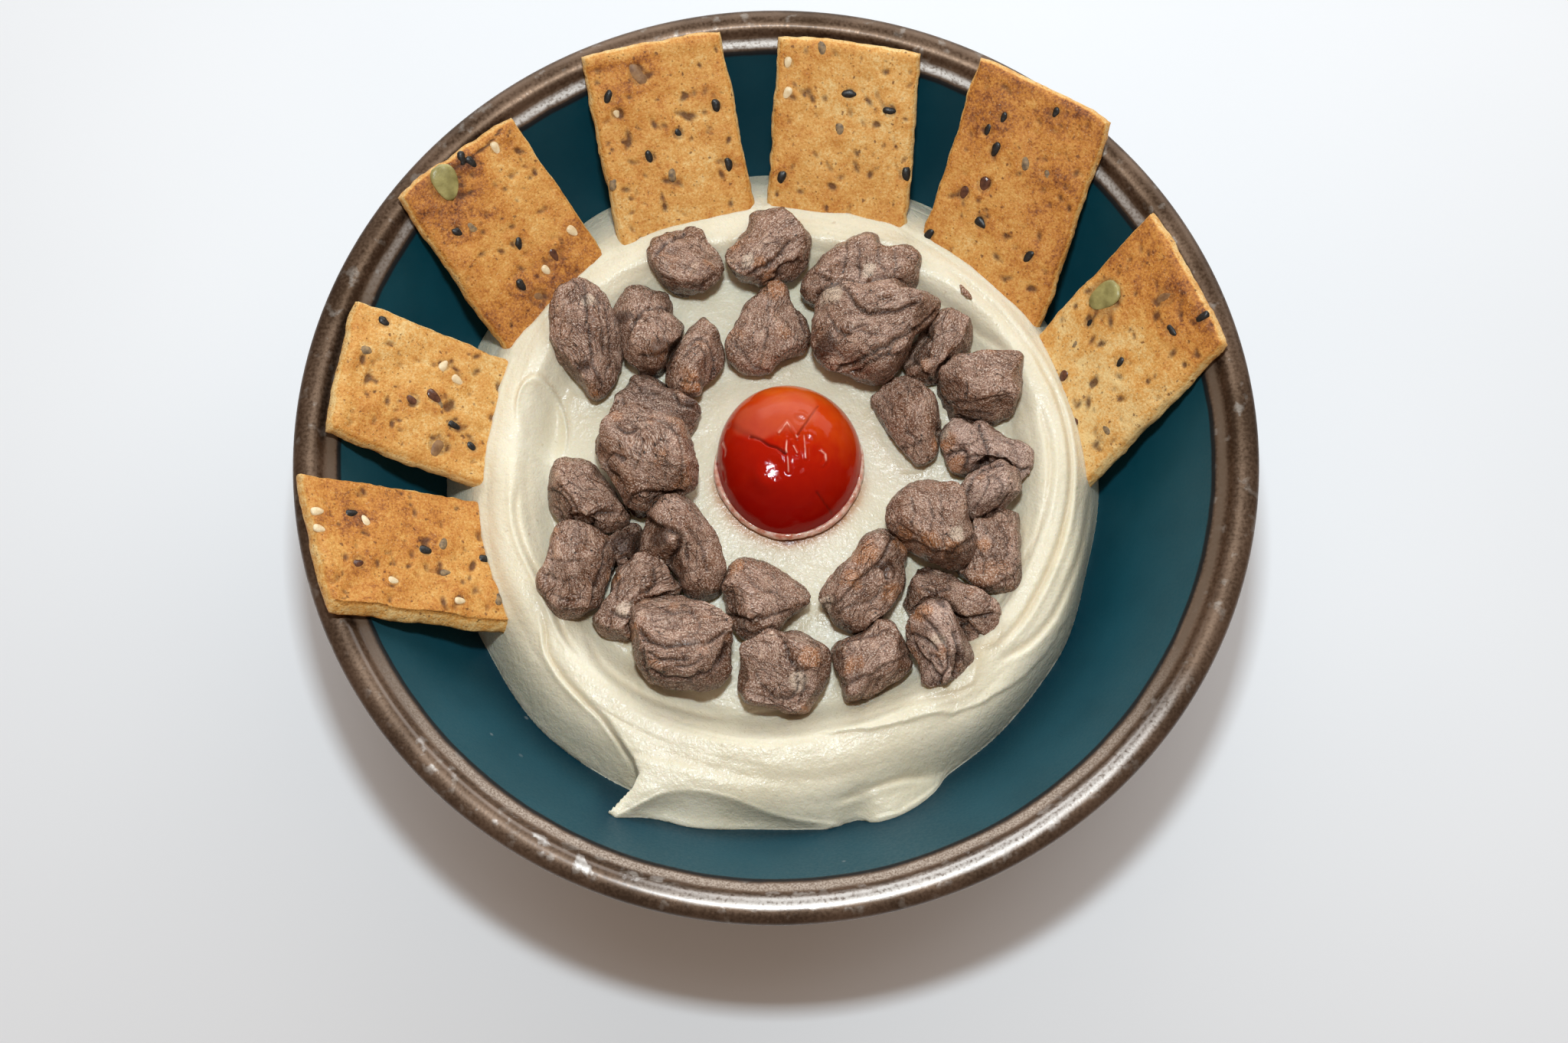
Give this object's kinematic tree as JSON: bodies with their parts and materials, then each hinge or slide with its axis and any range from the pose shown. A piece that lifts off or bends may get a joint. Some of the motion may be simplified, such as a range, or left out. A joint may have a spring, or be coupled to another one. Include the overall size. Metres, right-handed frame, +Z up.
{
  "type": "hummus bowl",
  "caption": "Wide glazed bowl of swirled hummus topped with roast beef chunks and half a tomato, with seeded crackers leaning on the rim.",
  "frame": {"origin": "centre of the bowl's foot ring, on the surface it stands on", "axes": "+Z up out of the bowl's mouth; -Y is the side where the hummus trails off in a tail, with no crackers"},
  "size_m": [0.21, 0.21, 0.0728],
  "materials": {
    "bowl_glaze": "gloss",
    "hummus": "satin",
    "cracker": "matte",
    "beef": "satin",
    "tomato": "gloss"
  },
  "bodies": {
    "root": {"bowl": "bowl_glaze", "hummus": "hummus", "tomato_half": "tomato", "cracker_1": "cracker", "cracker_2": "cracker", "cracker_3": "cracker", "cracker_4": "cracker", "cracker_5": "cracker", "cracker_6": "cracker", "cracker_7": "cracker", "beef_01": "beef", "beef_02": "beef", "beef_03": "beef", "beef_04": "beef", "beef_05": "beef", "beef_06": "beef", "beef_07": "beef", "beef_08": "beef", "beef_09": "beef", "beef_10": "beef", "beef_11": "beef", "beef_12": "beef", "beef_13": "beef", "beef_14": "beef", "beef_15": "beef", "beef_16": "beef", "beef_17": "beef", "beef_18": "beef", "beef_19": "beef", "beef_20": "beef", "beef_21": "beef", "beef_22": "beef", "beef_23": "beef", "beef_24": "beef", "beef_25": "beef", "beef_26": "beef", "beef_27": "beef", "beef_28": "beef", "beef_29": "beef"}
  },
  "joints": []
}
